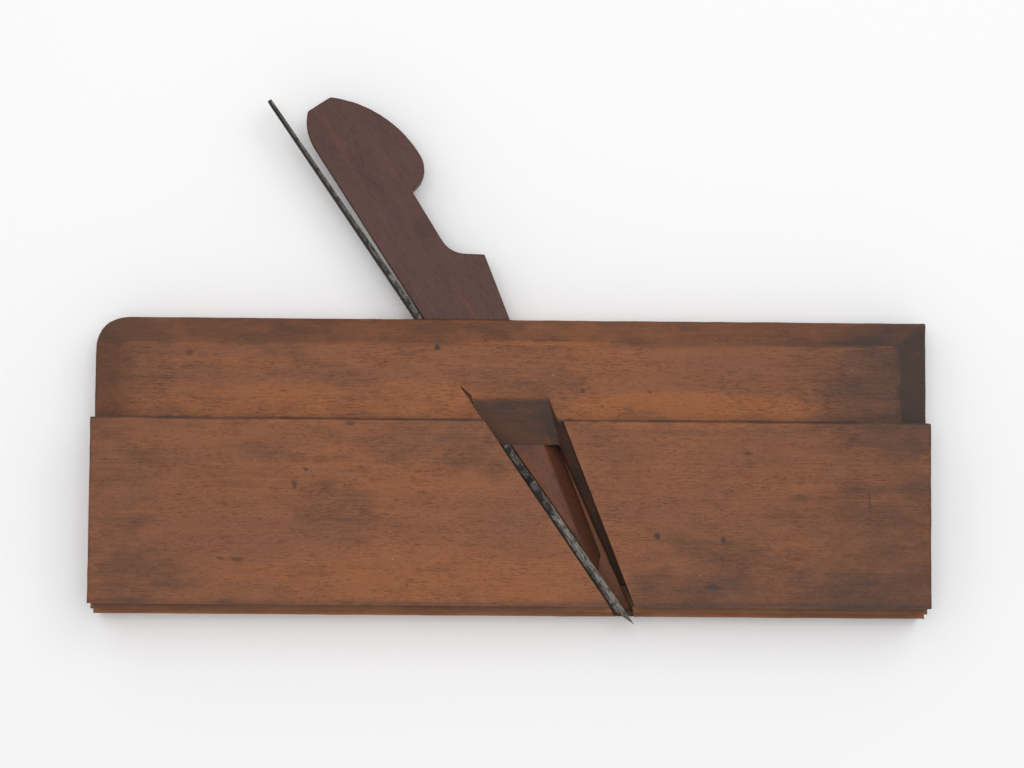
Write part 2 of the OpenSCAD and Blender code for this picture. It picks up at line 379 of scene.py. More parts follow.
@dataclass(frozen=True)
class WoodFinish:
    """Old oiled beech: fine fleck along the grain, soft bands, hand stains and worn arrises,
    with any painted shade and painted light that a finish adds.
    """

    name: str
    fresh: Colour = (0.285, 0.102, 0.040)
    mellow: Colour = (0.212, 0.084, 0.043)
    brown: Colour = (0.122, 0.056, 0.035)
    # Colour of heavy grime, and of painted shade where a finish paints it.
    grime_and_shade: Colour = (0.056, 0.042, 0.037)
    fleck: Colour = (0.075, 0.038, 0.024)
    worn: Colour = (0.300, 0.130, 0.062)
    # Painted light: the paler tone laid where a finish lifts the shade of a recess.
    painted_light_tone: Colour = (0.400, 0.165, 0.080)
    grain_turn: float = 0.0
    fleck_depth: float = 0.62
    pale_share: float = 0.26
    base_roughness: float = 0.50
    relief: float = 0.07
    gloss: float = 0.14
    dust: Colour = (0.44, 0.35, 0.26)
    fibre_size: Triple = (22, 0.42, 0.42)
    band_size: Triple = (120, 4.2, 6.5)
    cloud_size: Triple = (34, 7, 10)
    blotch_size: Triple = (15, 6, 8)
    mottle_size: Triple = (6, 3.2, 4)
    dash_size: Triple = (3.2, 0.40, 1.3)
    tick_size: Triple = (1.5, 0.24, 0.7)
    crowd_size: Triple = (17, 8, 8)
    pale_size: Triple = (9, 0.40, 0.6)
    rub_size: Triple = (9, 5, 5)
    speck_size: Triple = (3.6, 3.6, 3.6)
    swarm_size: Triple = (14, 14, 14)

    def soil_and_shade(self, bench: Bench, x: Field, y: Field, z: Field) -> Field:
        """How soiled the wood is at each place, 0 clean to 1 black."""
        return bench.noise((40, 24, 24), 11.0, 3).step(0.55, 0.85) * 0.3

    def warmth(self, bench: Bench, x: Field, y: Field, z: Field) -> Field:
        """How much the wood leans to orange, 0 to 1."""
        return bench.noise((90, 26, 26), 5.0, 3, 0.55, 0.4).step(0.30, 0.70) * 0.6

    def painted_light(self, bench: Bench, x: Field, y: Field, z: Field) -> "Field | float":
        """How far the wood is painted lighter to offset shade, 0 to 1."""
        return 0.0

    def _flecks(self, bench: Bench) -> tuple[Field, Field]:
        """The short dark flecks of beech.

        Args:
            bench: The material being made.

        Returns:
            How dark the flecks are, and how deep they lie.
        """
        dash = bench.noise(self.dash_size, 3.0, 3, 0.6, 0.25).step(0.50, 0.72)
        tick = bench.noise(self.tick_size, 4.0, 2, 0.5).step(0.58, 0.70)
        crowd = bench.noise(self.crowd_size, 6.0, 3, 0.6).step(0.30, 0.66)
        dark = (dash * crowd * 0.85 + tick * (crowd * 0.6 + 0.25)) * self.fleck_depth
        return dark, dash * crowd * 0.6 + tick * 0.5

    def _rubbing(self, bench: Bench, clean: Field, colour: object) -> bpy.types.NodeSocket:
        """Lays the pale fibres, the rubbed arrises and the specks of dust over the colour.

        Args:
            bench: The material being made.
            clean: Where the wood is neither soiled nor painted with shade, 0 to 1.
            colour: The colour so far.

        Returns:
            The socket of the colour with them on it.
        """
        pale = bench.noise(self.pale_size, 8.0, 3, 0.6).step(0.56, 0.78) * self.pale_share
        colour = bench.mix(colour, self.worn, pale * clean)
        rubbed = bench.attribute("arris").step(0.45, 1.0)
        rubbed = rubbed * bench.noise(self.rub_size, 9.0, 3).step(0.46, 0.66) * 0.34
        colour = bench.mix(colour, self.worn, rubbed)
        speck = bench.cells(self.speck_size, 10.0).step(0.060, 0.035)
        speck = speck * bench.noise(self.swarm_size, 12.0, 1).step(0.57, 0.64) * clean
        return bench.mix(colour, self.dust, speck * 0.6)

    def make(self) -> bpy.types.Material:
        """Builds the material.

        Returns:
            The finished material.
        """
        bench = Bench(self.name, self.grain_turn)
        x, y, z = bench.axes()
        fibre = bench.noise(self.fibre_size, 1.0, 3, 0.6)
        band = bench.noise(self.band_size, 2.0, 4, 0.6, 0.3)
        blotch = bench.noise(self.blotch_size, 14.0, 5, 0.66, 0.5)
        mottle = bench.noise(self.mottle_size, 7.0, 4, 0.62, 0.7)
        cloud = bench.noise(self.cloud_size, 17.0, 4, 0.6, 0.4)
        warmth = self.warmth(bench, x, y, z) + (band - 0.5) * 1.3 + (blotch - 0.5) * 1.1
        warmth = warmth + (cloud - 0.5) * 1.2
        colour = bench.mix(self.mellow, self.fresh, warmth.step(0.0, 1.05))
        # This darkening is soiling and, in the stock, painted shade too.
        soil_and_shade = self.soil_and_shade(bench, x, y, z) + (blotch - 0.47) * 0.85 + (mottle - 0.5) * 0.45
        soil_and_shade = soil_and_shade + (fibre - 0.5) * 0.45 + (cloud - 0.5) * 0.55
        colour = bench.mix(colour, self.brown, soil_and_shade.step(-0.05, 0.62))
        colour = bench.mix(colour, self.grime_and_shade, soil_and_shade.step(0.50, 1.10) * 0.9)
        dark, pitted = self._flecks(bench)
        colour = bench.mix(colour, self.fleck, dark)
        colour = self._rubbing(bench, soil_and_shade.step(0.85, 0.25), colour)
        # Painted light: a paler tone laid where a finish lifts shade.
        colour = bench.mix(colour, self.painted_light_tone, self.painted_light(bench, x, y, z))
        roughness = (mottle - 0.5) * 0.25 + (fibre - 0.5) * 0.2 + self.base_roughness
        roughness = roughness + dark * 0.25
        height = fibre * 0.4 + mottle * 0.5 - pitted
        return bench.finish(colour, roughness, height, self.relief, 0.0, self.gloss)


@dataclass(frozen=True)
class StockFinish(WoodFinish):
    """The stock's beech, soiled at its ends, chamfers and shoulder, with painted shade in the
    throat, the shoulder's corner and the sole's near arris, and painted light on the throat's
    floor, the fence and the fin.
    """

    shoulder_y: float = 13.5
    stock_w: float = 22.2
    grip_w: float = 18.4
    stains: tuple[Stain, ...] = (
        Stain(112, 26, 34, 26, 0.42),
        Stain(118, -20, 42, 36, 0.34),
        Stain(114, 24, 32, 22, 0.26),
        Stain(80, -38, 62, 14, 0.36),
        Stain(70, 2, 62, 28, 0.10),
        Stain(-114, 30, 22, 24, 0.28),
        Stain(-117, -2, 20, 24, 0.20),
        Stain(-108, -32, 26, 12, 0.34),
        Stain(50, 16.5, 50, 4, -0.22),
        Stain(-90, 20, 22, 12, 0.10),
        Stain(6, 25, 24, 14, 0.22),
        Stain(-20, 32, 18, 10, 0.12),
        Stain(-52, -12, 20, 12, 0.22),
        Stain(-20, 4, 30, 10, 0.20),
        Stain(-80, 2, 34, 9, 0.16),
        Stain(46, -30, 22, 22, 0.14),
        Stain(-70, 38, 30, 8, 0.14),
    )
    marks: tuple[Stain, ...] = (
        Stain(-21.6, 34.5, 0.9, 1.2, 1.0),
        Stain(20.6, 22.2, 1.0, 0.8, 0.7),
        Stain(39.9, 22.1, 0.7, 0.5, 0.7),
        Stain(42, -19.5, 1.1, 1.0, 1.0),
        Stain(61, -20.5, 1.0, 1.3, 0.6),
        Stain(-93, 32.5, 1.5, 1.3, 0.55),
        Stain(103, -10, 0.30, 4.5, 0.45),
        Stain(107.6, 35.6, 4.4, 0.6, -0.5),
        Stain(8, 35.9, 26, 0.8, -0.35),
        Stain(-59, -1, 0.8, 0.6, 0.8),
        Stain(-62, -5.5, 1.0, 1.4, 0.6),
        Stain(-78, -27, 2.2, 1.1, 0.5),
        Stain(68, 4.5, 2.0, 0.6, 0.6),
        Stain(-83, -26.5, 1.4, 0.6, 0.5),
        Stain(58, -34, 3.5, 1.0, 0.5),
        Stain(-46, 12, 1.6, 0.8, 0.5),
    )
    glows: tuple[Stain, ...] = (
        Stain(-50, 18, 70, 9, 0.75),
        Stain(52, 16.5, 60, 6.5, 1.25),
        Stain(-60, 15.5, 60, 4, 0.5),
        Stain(-25, -33, 60, 16, 0.60),
        Stain(-45, -6, 60, 22, 0.25),
        Stain(44, 2, 18, 12, 0.30),
        Stain(-40, 33, 50, 8, 0.15),
        Stain(25, 28, 40, 9, 0.30),
        Stain(108.0, 35.5, 6, 1.5, 0.6),
        Stain(8, 36, 30, 2, 0.4),
    )

    def _on_grip(self, y: Field) -> Field:
        """1 above the shoulder and 0 below it."""
        return y.step(self.shoulder_y - 0.1, self.shoulder_y + 0.1)

    def soil_and_shade(self, bench: Bench, x: Field, y: Field, z: Field) -> Field:
        """How dark the stock is at each place: its soiling, with painted shade in the throat,
        the shoulder's corner and the sole's near arris.

        Args:
            bench: The material being made.
            x: Millimetres towards the toe.
            y: Millimetres towards the top.
            z: Millimetres out of the blind side.

        Returns:
            The darkening, 0 clean to 1 black.
        """
        sway = bench.noise((26, 18, 26), 15.0, 3, 0.6) - 0.5
        jolt = bench.noise((1.6, 1.2, 2), 16.0, 2) - 0.5
        total = laid(self.stains, x + sway * 30, y - sway * 24)
        total = total + laid(self.marks, x + jolt * 1.6, y - jolt * 1.3)
        total = total + bench.noise((36, 18, 24), 11.0, 4, 0.6).step(0.48, 0.78) * 0.30
        near_shoulder = y - self.shoulder_y
        # A dark line in the shoulder's inner corner: partly grime, partly painted shade.
        line = near_shoulder.size().step(0.75, 0.1) * z.step(17.8, 18.2)
        line = line * (bench.noise((16, 60, 60), 13.0, 3, 0.6).step(0.34, 0.62) * 0.4 + 0.35)
        dust = (near_shoulder - sway * 3).size().step(5.0, 0.0) * 0.10
        # The throat's part is painted shade; the shoulder line and the sole's near arris are
        # partly painted shade.
        return total + self._rims(x, y, z) + line + dust + self._throat(x, y, z)

    def _rims(self, x: Field, y: Field, z: Field) -> Field:
        """The soiling of the top, both ends and the end chamfers, and the darkening of the
        sole's near arris, partly grime and partly painted shade.

        Args:
            x: Millimetres towards the toe.
            y: Millimetres towards the top.
            z: Millimetres out of the blind side.

        Returns:
            The darkening of those places.
        """
        top = y.step(34.2, 36.2) * (x.step(10.0, 70.0) * 0.14 + 0.24)
        ends = x.size().step(119.6, 120.6) * 0.30
        mitre = (x * 0.906 - y - 64.9).step(-0.2, 0.5)
        toe = x.step(110.6, 113.0) * mitre * self._on_grip(y) * 0.36
        heel = x.step(-108.0, -114.5) * self._on_grip(y) * 0.14
        # The near face's rounded lower arris: partly grime, partly painted shade.
        sole = y.step(-37.6, -39.4) * z.step(19.5, 21.0) * 0.34
        return top + ends + toe + heel + sole

    def _throat(self, x: Field, y: Field, z: Field) -> Field:
        """Painted shade inside the escapement, deepest low on the front wall.

        Args:
            x: Millimetres towards the toe.
            y: Millimetres towards the top.
            z: Millimetres out of the blind side.

        Returns:
            The painted shade of the throat.
        """
        # Painted shade: the throat's walls are darkened, most low on the front wall.
        low_side = z.step(self.stock_w - 0.2, self.stock_w - 1.0)
        high_side = z.step(self.grip_w - 0.2, self.grip_w - 0.8)
        inner = (low_side + (high_side - low_side) * self._on_grip(y)) * z.step(6.0, 8.0)
        ahead = FRONT.past(x, y)
        inside = inner * y.step(25.0, 24.4) * BED.past(x, y).step(-0.5, 0.1)
        inside = inside * ahead.step(2.6, 1.2)
        return inside * (ahead.step(-6.4, -5.4) * y.step(20.0, 12.0) * 0.24 + 0.58)

    def painted_light(self, bench: Bench, x: Field, y: Field, z: Field) -> Field:
        """Painted light: how far the bottom of the throat, the fence and the fin are painted
        paler to offset the shade they lie in.

        Args:
            bench: The material being made.
            x: Millimetres towards the toe.
            y: Millimetres towards the top.
            z: Millimetres out of the blind side.

        Returns:
            How pale, 0 to 1.
        """
        # Painted light on the throat's floor, the fence and the fin, made patchy by noise.
        floor = z.step(7.5, 6.5) * z.step(3.5, 4.5) * y.step(9.0, 7.0) * y.step(-41.0, -40.0)
        floor = floor * BED.past(x, y).step(-1.0, 1.0) * FRONT.past(x, y).step(3.0, 1.0) * 0.6
        fence = y.step(-41.4, -41.7) * z.step(12.0, 11.0) * z.step(6.0, 9.0)
        fin = y.step(-39.6, -40.2) * z.step(20.0, 19.0) * z.step(14.0, 14.6) * 0.4
        lift_patches = bench.noise((24, 9, 9), 18.0, 4, 0.6).step(0.3, 0.7)
        return floor + (fence + fin) * (lift_patches * 0.6 + 0.3)

    def warmth(self, bench: Bench, x: Field, y: Field, z: Field) -> Field:
        """How much the stock leans to orange."""
        total = laid(self.glows, x, y) + 0.12
        return total + bench.noise((70, 16, 22), 5.0, 3, 0.55, 0.4).step(0.30, 0.75) * 0.35


@dataclass(frozen=True)
class WedgeFinish(WoodFinish):
    """The wedge's beech: dark where it is handled, warmer inside the throat."""

    smudges: tuple[Stain, ...] = (
        Stain(-25, 69.7, 3.5, 5.5, 0.42),
        Stain(-52, 92, 22, 22, 0.10),
    )

    def soil_and_shade(self, bench: Bench, x: Field, y: Field, z: Field) -> Field:
        """How soiled the wedge is: smudged at the neck and patchy elsewhere.

        Args:
            bench: The material being made.
            x: Millimetres towards the toe.
            y: Millimetres towards the top.
            z: Millimetres out of the blind side; not used.

        Returns:
            The soiling, 0 clean to 1 black.
        """
        sway = bench.noise((8, 6, 8), 15.0, 3, 0.6) - 0.5
        total = laid(self.smudges, x + sway * 8, y - sway * 8)
        return total + bench.noise((30, 9, 12), 11.0, 4, 0.6).step(0.42, 0.72) * 0.30

    def warmth(self, bench: Bench, x: Field, y: Field, z: Field) -> Field:
        """How red the wedge is: streaks along it, and all of it below the stock's top."""
        streaks = bench.noise((46, 4.5, 9), 5.0, 4, 0.6, 0.3).step(0.44, 0.70) * 0.34
        return streaks + y.step(16.0, 2.0) * 0.62


@dataclass(frozen=True)
class MetalFinish:
    """Old iron: dark scale with patches rubbed bright, pits, a little rust, and a dark strip
    along its back edge that is partly oxide and partly painted shade.
    """

    name: str
    scale: Colour = (0.024, 0.021, 0.019)
    bright: Colour = (0.150, 0.135, 0.118)
    polished: Colour = (0.40, 0.37, 0.33)
    # Colour of the back edge: dark oxide with painted shade from the bed.
    back_shade_and_oxide: Colour = (0.018, 0.016, 0.014)
    rust: Colour = (0.070, 0.038, 0.024)
    grain_turn: float = -55.5
    bright_low: float = 0.60
    bright_high: float = 0.78
    base_roughness: float = 0.62
    edge_share: float = 0.45

    def make(self) -> bpy.types.Material:
        """Builds the material.

        Returns:
            The finished material.
        """
        bench = Bench(self.name, self.grain_turn)
        rubbed = bench.noise((2.6, 0.9, 1.6), 21.0, 5, 0.66, 0.6)
        long_run = bench.noise((18, 6, 6), 22.0, 3)
        arris = bench.attribute("arris").step(0.45, 1.0)
        share = (rubbed + (long_run - 0.5) * 0.5 + arris * 0.08).step(
            self.bright_low, self.bright_high
        )
        pit = bench.cells((0.9, 0.7, 0.7), 23.0).step(0.34, 0.12)
        rust = bench.noise((5, 2.2, 2.2), 24.0, 4, 0.6).step(0.56, 0.74)
        colour = bench.mix(self.scale, self.rust, rust * 0.7)
        colour = bench.mix(colour, self.bright, share)
        colour = bench.mix(colour, self.scale, pit * 0.55)
        x, y, _ = bench.axes()
        # Painted shade along the iron's back edge, where it sits against the bed, laid on with
        # dark oxide.
        back = BED.past(x, y).step(1.25, 0.55)
        colour = bench.mix(colour, self.back_shade_and_oxide, back * 0.75)
        edge = arris * back.step(0.6, 0.1) * rubbed.step(0.36, 0.60)
        colour = bench.mix(colour, self.polished, edge * self.edge_share)
        fine = bench.noise((1.1, 0.12, 0.5), 25.0, 3, 0.6)
        roughness = (fine - 0.5) * 0.3 + self.base_roughness - share * 0.10 + pit * 0.2
        metallic = share * 0.10 + 0.02
        height = rubbed * 0.8 + fine * 0.25 - pit * 0.8
        return bench.finish(colour, roughness, height, 0.09, metallic, 0.22)


@dataclass(frozen=True)
class PaperFinish:
    """The white paper that the plane lies on."""

    name: str = "white_paper"
    tone: Colour = (0.95, 0.952, 0.955)
    shade: Colour = (0.935, 0.937, 0.94)

    def make(self) -> bpy.types.Material:
        """Builds the material, with the faint unevenness of paper.

        Returns:
            The finished material.
        """
        bench = Bench(self.name)
        tooth = bench.noise((220, 220, 220), 31.0, 2)
        colour = bench.mix(self.tone, self.shade, tooth)
        return bench.finish(colour, 0.9, bench.noise((1.2, 1.2, 1.2), 32.0, 2), 0.01, 0.0, 0.2)


# --------------------------------------------------------------------------- worn meshes


@dataclass(frozen=True)
class Dent:
    """A small hollow struck into a face: its place, its radius and its depth in millimetres."""

    place: Triple
    radius: float
    depth: float
    reach_y: float = 1.0


class WearTree:
    """Geometry Nodes that sink a piece's points unevenly where it is worn."""

    INPUTS = (("Depth", 0.0), ("Run", 10.0), ("Seed", 0.0))
    UNWORN_BELOW = 0.34

    def __init__(self, name: str = "uneven_wear") -> None:
        """Builds the tree once, for every piece to use.

        Args:
            name: The name of the node group.
        """
        self.tree = bpy.data.node_groups.new(name, "GeometryNodeTree")
        face = self.tree.interface
        face.new_socket("Geometry", in_out="INPUT", socket_type="NodeSocketGeometry")
        for title, value in self.INPUTS:
            socket = face.new_socket(title, in_out="INPUT", socket_type="NodeSocketFloat")
            socket.default_value = value
        face.new_socket("Finish", in_out="INPUT", socket_type="NodeSocketMaterial")
        face.new_socket("Geometry", in_out="OUTPUT", socket_type="NodeSocketGeometry")
        add, link = self.tree.nodes.new, self.tree.links.new
        given = add("NodeGroupInput")
        noise = add("ShaderNodeTexNoise")
        noise.noise_dimensions = "4D"
        noise.inputs["Detail"].default_value = 2.0
        scaled = self._vector("SCALE", add("GeometryNodeInputPosition").outputs[0])
        pitch = self._sum("DIVIDE", 1 / MM, given.outputs["Run"])
        link(pitch, scaled.inputs["Scale"])
        link(scaled.outputs[0], noise.inputs["Vector"])
        link(given.outputs["Seed"], noise.inputs["W"])
        worn = add("GeometryNodeInputNamedAttribute")
        worn.data_type = "FLOAT"
        worn.inputs["Name"].default_value = "arris"
        lift = self._sum("SUBTRACT", noise.outputs[0], self.UNWORN_BELOW)
        lift = self._sum("MAXIMUM", lift, 0.0)
        amount = self._sum("MULTIPLY", lift, worn.outputs["Attribute"])
        depth = self._sum("MULTIPLY", amount, given.outputs["Depth"])
        depth = self._sum("MULTIPLY", depth, -MM)
        inward = self._vector("SCALE", add("GeometryNodeInputNormal").outputs[0])
        link(depth, inward.inputs["Scale"])
        moved = add("GeometryNodeSetPosition")
        link(given.outputs["Geometry"], moved.inputs["Geometry"])
        link(inward.outputs[0], moved.inputs["Offset"])
        real = add("GeometryNodeRealizeInstances")
        link(moved.outputs[0], real.inputs[0])
        dressed = add("GeometryNodeSetMaterial")
        link(real.outputs[0], dressed.inputs["Geometry"])
        link(given.outputs["Finish"], dressed.inputs["Material"])
        out = add("NodeGroupOutput")
        link(dressed.outputs[0], out.inputs[0])

    def _vector(self, operation: str, socket: bpy.types.NodeSocket) -> bpy.types.Node:
        """Adds a Vector Math node fed from a socket.

        Args:
            operation: The node's operation.
            socket: What feeds its first input.

        Returns:
            The new node.
        """
        node = self.tree.nodes.new("ShaderNodeVectorMath")
        node.operation = operation
        self.tree.links.new(socket, node.inputs[0])
        return node

    def _sum(self, operation: str, first: object, second: object) -> bpy.types.NodeSocket:
        """Adds a Math node and returns what it gives.

        Args:
            operation: The node's operation.
            first: A socket or a number.
            second: A socket or a number.

        Returns:
            The socket of the result.
        """
        node = self.tree.nodes.new("ShaderNodeMath")
        node.operation = operation
        for place, value in enumerate((first, second)):
            if isinstance(value, bpy.types.NodeSocket):
                self.tree.links.new(value, node.inputs[place])
            else:
                node.inputs[place].default_value = value
        return node.outputs[0]

    def put_on(
        self, piece: bpy.types.Object, depth: float, run: float, seed: float, finish: object
    ) -> None:
        """Adds the tree to a piece, with its inputs set by their identifiers.

        Args:
            piece: The piece that wears.
            depth: Deepest wear in millimetres.
            run: Length of the unevenness in millimetres.
            seed: Number that changes the pattern.
            finish: The material that the piece ends with.
        """
        modifier = piece.modifiers.new("wear", "NODES")
        modifier.node_group = self.tree
        values = {"Depth": depth, "Run": run, "Seed": seed, "Finish": finish}
        for item in self.tree.interface.items_tree:
            if item.in_out == "INPUT" and item.name in values:
                modifier[item.identifier] = values[item.name]


@dataclass
class WornPiece:
    """A piece cut from a CAD node: its arrises eased, its faces divided, dented and worn."""

    name: str
    node: str
    body: Body
    slot: Slot
    ease: float = 0.35
    ease_steps: int = 3
    sharp_from: float = 24.0
    pitch: float = 4.0
    support: float = 1.2
    wear_depth: float = 0.5
    wear_run: float = 9.0
    seed: float = 1.0
    fine_below: float = -99.0
    fine_ease: float = 0.12
    fine_spots: tuple[tuple[Triple, float], ...] = ()
    shallow_below: float = 0.0
    shallow_ease: float = 0.9
    heel_from: float = -100.0
    heel_ease: float = 2.4
    dents: tuple[Dent, ...] = ()
    dent_rim: float = 0.8
    dent_cell: float = 0.35
    level_from: float = 0.7
    face_layer: float = 0.4
    point_layer: float = 0.3
    grid_margin: float = 0.4
    joined_below: float = 0.25
    crease_from: float = 38.0

    def _clean_copy(self) -> bmesh.types.BMesh:
        """A copy of the node's mesh with its loose triangles joined into flat faces.

        Returns:
            The joined mesh.
        """
        mesh = bmesh.new()
        mesh.from_mesh(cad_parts[self.node].data)
        bmesh.ops.remove_doubles(mesh, verts=mesh.verts, dist=2e-6)
        bmesh.ops.dissolve_limit(
            mesh,
            angle_limit=math.radians(self.joined_below),
            verts=mesh.verts,
            edges=mesh.edges,
            delimit={"NORMAL"},
        )
        return mesh

    def _sharp_edges(self, mesh: bmesh.types.BMesh) -> list[bmesh.types.BMEdge]:
        """The edges where two faces meet at more than the least angle.

        Args:
            mesh: The mesh to look through.

        Returns:
            The sharp edges.
        """
        least = math.radians(self.sharp_from)
        return [
            e
            for e in mesh.edges
            if len(e.link_faces) == 2 and e.calc_face_angle(0.0) > least
        ]

    def _ease_of(self, edge: bmesh.types.BMEdge) -> float:
        """How much one edge is eased, in millimetres.

        Args:
            edge: The edge.

        Returns:
            A small ease for fine mouldings and saw kerfs, a large one for shallow
            chamfers, and the piece's own for the rest.
        """
        middle = (edge.verts[0].co + edge.verts[1].co) / 2 / MM
        if min(v.co.y for v in edge.verts) / MM < self.fine_below:
            return self.fine_ease
        if any((middle - Vector(spot)).length < reach for spot, reach in self.fine_spots):
            return self.fine_ease
        if edge.calc_face_angle(0.0) < math.radians(self.shallow_below):
            return self.heel_ease if middle.x < self.heel_from else self.shallow_ease
        return self.ease

    def _divide(self, mesh: bmesh.types.BMesh, lines: dict[int, list[float]]) -> None:
        """Cuts the mesh by planes square to each axis.

        Args:
            mesh: The mesh to cut.
            lines: For each axis, the places of the planes in millimetres.
        """
        for axis, places in lines.items():
            normal = Vector([float(axis == i) for i in range(3)])
            for place in places:
                everything = [*mesh.verts, *mesh.edges, *mesh.faces]
                bmesh.ops.bisect_plane(
                    mesh, geom=everything, dist=1e-7, plane_co=normal * place * MM,
                    plane_no=normal,
                )

    def _strike(self, mesh: bmesh.types.BMesh) -> None:
        """Divides the faces round each dent and sinks them.

        Args:
            mesh: The mesh to dent.
        """
        for dent in self.dents:
            middle = Vector(dent.place) * MM
            reach = (dent.radius * max(1.0, dent.reach_y) + self.dent_rim) * MM
            for _ in range(3):
                near = [
                    f
                    for f in mesh.faces
                    if abs(f.normal.z) > self.level_from
                    and abs(f.calc_center_median().z - middle.z) < self.face_layer * MM
                    and self._gap(f, middle) < reach
                    and f.calc_area() > (self.dent_cell * MM) ** 2
                ]
                edges = {e for f in near for e in f.edges}
                if edges:
                    bmesh.ops.subdivide_edges(
                        mesh, edges=list(edges), cuts=1, use_grid_fill=True
                    )
            for v in mesh.verts:
                if abs(v.co.z - middle.z) > self.point_layer * MM:
                    continue
                flat = Vector(((v.co.x - middle.x), (v.co.y - middle.y) / dent.reach_y))
                share = flat.length / (dent.radius * MM)
                if share < 1.0:
                    v.co.z -= dent.depth * MM * (1 - share * share) ** 2

    @staticmethod
    def _gap(face: bmesh.types.BMFace, middle: Vector) -> float:
        """Distance in plan from a point to a face's box.

        Args:
            face: The face.
            middle: The point, in metres.

        Returns:
            The distance in metres, 0 inside the box.
        """
        xs = [v.co.x for v in face.verts]
        ys = [v.co.y for v in face.verts]
        dx = max(min(xs) - middle.x, middle.x - max(xs), 0.0)
        dy = max(min(ys) - middle.y, middle.y - max(ys), 0.0)
        return math.hypot(dx, dy)

    def _mark_arrises(self, mesh: bpy.types.Mesh, lines: list[tuple[Vector, Vector]]) -> None:
        """Stores on every point how near it is to an arris, 1 on it and 0 away from it.

        Args:
            mesh: The mesh to mark.
            lines: The arrises as pairs of points.
        """
        count = len(mesh.vertices)
        places = np.empty(count * 3)
        mesh.vertices.foreach_get("co", places)
        places = places.reshape(-1, 3)
        nearest = np.full(count, 1.0)
        for a, b in lines:
            start, run = np.array(a), np.array(b) - np.array(a)
            share = np.clip((places - start) @ run / max(run @ run, 1e-12), 0, 1)
            gap = np.linalg.norm(places - start - share[:, None] * run, axis=1)
            nearest = np.minimum(nearest, gap)
        value = np.clip(1.0 - nearest / (self.support * MM), 0.0, 1.0)
        layer = mesh.attributes.new("arris", "FLOAT", "POINT")
        layer.data.foreach_set("value", value.astype(np.float32))

    def _grid(self) -> dict[int, list[float]]:
        """Places of the dividing planes: an even pitch, and lines close inside the outer faces.

        Returns:
            For each axis, the places of the planes in millimetres.
        """
        low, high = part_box(self.node)
        lines: dict[int, list[float]] = {}
        for axis in range(3):
            a, b = low[axis] / MM, high[axis] / MM
            steps = max(1, round((b - a) / self.pitch))
            even = [a + (b - a) * i / steps for i in range(1, steps)]
            rims = [a + self.support, b - self.support]
            first, last = a + self.grid_margin, b - self.grid_margin
            lines[axis] = [p for p in even + rims if first < p < last]
        return lines

    def build(self, wear: WearTree, finish: bpy.types.Material) -> bpy.types.Object:
        """Makes the piece and hangs it on its body in place of the node.

        Args:
            wear: The tree that wears its arrises.
            finish: Its material.

        Returns:
            The finished piece.
        """
        mesh = self._clean_copy()
        weights = mesh.edges.layers.float.new("bevel_weight_edge")
        sharp = self._sharp_edges(mesh)
        lines = [tuple(v.co.copy() for v in e.verts) for e in sharp]
        for edge in sharp:
            edge[weights] = self._ease_of(edge)
        piece = self._object(mesh)
        bevel = piece.modifiers.new("ease", "BEVEL")
        bevel.limit_method = "WEIGHT"
        bevel.width = 1.0 * MM
        bevel.segments = self.ease_steps
        bevel.use_clamp_overlap = False
        bevel.miter_outer = "MITER_ARC"
        self._settle(piece)
        mesh = bmesh.new()
        mesh.from_mesh(piece.data)
        self._divide(mesh, self._grid())
        self._strike(mesh)
        bmesh.ops.triangulate(mesh, faces=[f for f in mesh.faces if len(f.verts) > 4])
        mesh.to_mesh(piece.data)
        mesh.free()
        self._mark_arrises(piece.data, lines)
        wear.put_on(piece, self.wear_depth, self.wear_run, self.seed, finish)
        self._settle(piece)
        piece.data.shade_smooth()
        piece.data.set_sharp_from_angle(angle=math.radians(self.crease_from))
        normals = piece.modifiers.new("even_shade", "WEIGHTED_NORMAL")
        normals.keep_sharp = True
        normals.weight = 60
        self._settle(piece)
        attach(piece, self.body.value)
        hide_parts(self.node)
        log.info("%s: %d faces", piece.name, len(piece.data.polygons))
        return piece

    def _object(self, mesh: bmesh.types.BMesh) -> bpy.types.Object:
        """Puts a mesh into the scene as the piece's object.

        Args:
            mesh: The mesh, which is freed.

        Returns:
            The new object.
        """
        data = bpy.data.meshes.new(self.name)
        mesh.to_mesh(data)
        mesh.free()
        piece = bpy.data.objects.new(self.name, data)
        bpy.context.scene.collection.objects.link(piece)
        return piece

    @staticmethod
    def _settle(piece: bpy.types.Object) -> None:
        """Turns the piece's live modifiers into its mesh.

        Args:
            piece: The piece with modifiers on it.
        """
        bpy.context.view_layer.update()
        graph = bpy.context.evaluated_depsgraph_get()
        settled = bpy.data.meshes.new_from_object(
            piece.evaluated_get(graph), preserve_all_data_layers=True, depsgraph=graph
        )
        piece.modifiers.clear()
        old, piece.data = piece.data, settled
        bpy.data.meshes.remove(old)
        settled.name = piece.name


# --------------------------------------------------------------------------- sub-assemblies


